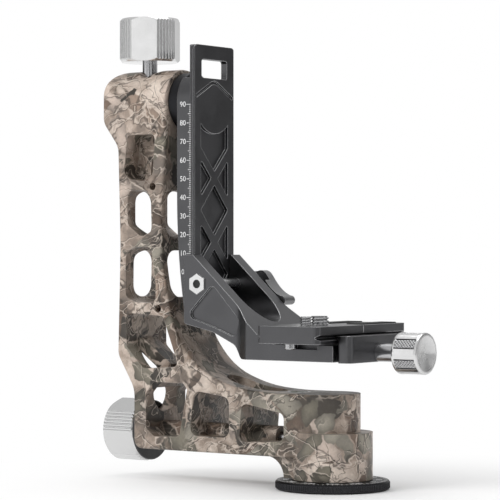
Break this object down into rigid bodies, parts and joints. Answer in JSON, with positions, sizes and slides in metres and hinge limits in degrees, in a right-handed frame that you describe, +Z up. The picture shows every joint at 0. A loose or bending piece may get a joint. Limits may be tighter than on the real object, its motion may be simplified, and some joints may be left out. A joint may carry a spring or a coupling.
{
  "type": "gimbal tripod head",
  "caption": "L-shaped gimbal tripod head: pan base, skeleton upright, tilting rail with height-adjustable cradle, clamp and sliding plate, and lock knobs.",
  "frame": {"origin": "centre of the base's underside, on the pan axis, at the mouth of the tripod socket", "axes": "+Z up along the pan axis; -X towards the upright, so the clamp knob points along +X; Y along the camera's lens"},
  "size_m": [0.1981, 0.085, 0.252],
  "materials": {
    "camo": "matte printed coating over cast metal",
    "black_anodised": "satin anodised",
    "dark_anodised": "satin anodised",
    "knob_silver": "turned, clear anodised",
    "lever_silver": "bead blasted",
    "steel": "turned",
    "bearing_steel": "ground",
    "bronze": "machined",
    "rubber_black": "ribbed",
    "level_body": "satin anodised",
    "level_glass": "clear",
    "collar_black": "satin"
  },
  "bodies": {
    "base": {"base_plate": "black_anodised", "index_ring": "black_anodised", "pan_spindle": "steel", "base_screws": "steel", "spindle_nut": "steel"},
    "frame": {"frame": "camo", "pan_bearings": "bearing_steel", "bearing_retainer": "black_anodised", "pan_brake_shoe": "bronze", "level_cup": "level_body", "level_vial": "level_glass", "tilt_bearings": "bearing_steel", "tilt_brake_shoe": "bronze", "tilt_end_cap": "black_anodised"},
    "swing_arm": {"tilt_shaft": "steel", "shaft_nut": "steel", "pivot_flange": "black_anodised", "flange_screws": "steel", "rail": "dark_anodised"},
    "cradle": {"cradle": "dark_anodised", "clamp_bolt": "steel", "hex_nut": "steel", "lever_washer": "steel"},
    "clamp_lever": {"clamp_lever": "lever_silver"},
    "moving_jaw": {"moving_jaw": "dark_anodised", "guide_pins": "steel"},
    "qr_knob": {"qr_knob": "knob_silver", "qr_screw": "steel"},
    "qr_plate": {"qr_plate": "dark_anodised", "plate_pads": "rubber_black", "stop_screws": "steel", "stud_clips": "steel"},
    "camera_screw_quarter": {"camera_screw_quarter": "steel"},
    "camera_screw_three_eighth": {"camera_screw_three_eighth": "steel"},
    "tilt_lock": {"tilt_lock_knob": "knob_silver", "tilt_lock_screw": "steel"},
    "pan_lock": {"pan_lock_knob": "knob_silver", "pan_collar": "collar_black", "pan_lock_rod": "steel"}
  },
  "joints": [
    {"name": "pan", "type": "hinge", "parent": "base", "child": "frame", "pos_m": [0, 0, 0.02], "axis": [0, 0, 1], "continuous": true},
    {"name": "tilt", "type": "hinge", "parent": "frame", "child": "swing_arm", "pos_m": [-0.112, 0, 0.205], "axis": [1, 0, 0], "continuous": true},
    {"name": "tilt_lock_turn", "type": "hinge", "parent": "frame", "child": "tilt_lock", "pos_m": [-0.1203, 0, 0.23], "axis": [0, 0, 1], "range_deg": [0, 360]},
    {"name": "pan_lock_turn", "type": "hinge", "parent": "frame", "child": "pan_lock", "pos_m": [-0.125, 0, 0.0255], "axis": [-1, 0, 0], "range_deg": [0, 360]},
    {"name": "height_slide", "type": "slide", "parent": "swing_arm", "child": "cradle", "axis": [0, 0, 1], "range_m": [0, 0.112]},
    {"name": "lever_turn", "type": "hinge", "parent": "cradle", "child": "clamp_lever", "pos_m": [-0.0719, 0.028, 0.1066], "axis": [0, -1, 0], "range_deg": [0, 80]},
    {"name": "jaw_slide", "type": "slide", "parent": "cradle", "child": "moving_jaw", "axis": [1, 0, 0], "range_m": [0, 0.0035]},
    {"name": "qr_knob_turn", "type": "hinge", "parent": "moving_jaw", "child": "qr_knob", "pos_m": [0.045, 0, 0.072], "axis": [1, 0, 0], "range_deg": [0, 1260]},
    {"name": "plate_slide", "type": "slide", "parent": "cradle", "child": "qr_plate", "axis": [0, 1, 0], "range_m": [-0.015, 0.015]},
    {"name": "quarter_turn", "type": "hinge", "parent": "qr_plate", "child": "camera_screw_quarter", "pos_m": [0, -0.025, 0.082], "axis": [0, 0, 1], "continuous": true},
    {"name": "three_eighth_turn", "type": "hinge", "parent": "qr_plate", "child": "camera_screw_three_eighth", "pos_m": [0, -0.012, 0.082], "axis": [0, 0, 1], "continuous": true}
  ],
  "couplings": [
    {"joint": "qr_knob_turn", "follows": "jaw_slide", "rad_per_m": 6283}
  ]
}
